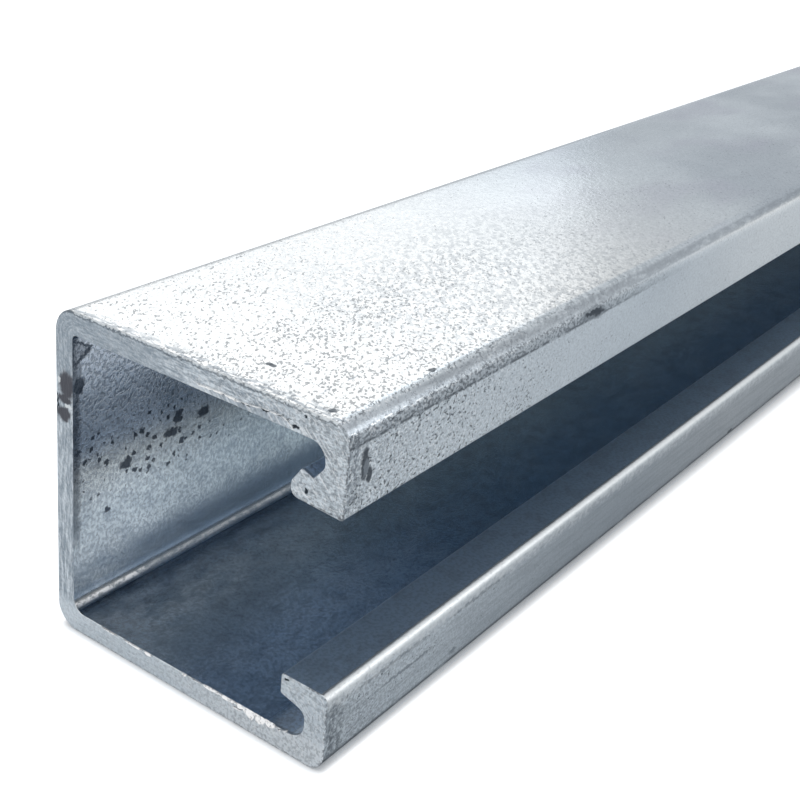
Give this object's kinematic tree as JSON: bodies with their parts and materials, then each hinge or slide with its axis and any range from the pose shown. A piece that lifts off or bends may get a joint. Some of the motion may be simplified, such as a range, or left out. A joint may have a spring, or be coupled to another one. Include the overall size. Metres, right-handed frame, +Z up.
{
  "type": "strut channel",
  "caption": "Plain square strut channel in galvanised steel, slotted along one side, with hooked in-turned lips that take channel nuts.",
  "frame": {"origin": "middle of the length and of the depth, on the level face that the channel lies on", "axes": "+X along the channel, +Y out of the back of the web with the slot opening to -Y, +Z up"},
  "size_m": [1, 0.0412, 0.0413],
  "materials": {
    "galvanised_steel": "hot-dip galvanised, matt pale grey with dark specks; the cut ends are bare and brushed"
  },
  "bodies": {
    "root": {"strut_channel": "galvanised_steel"}
  },
  "joints": []
}
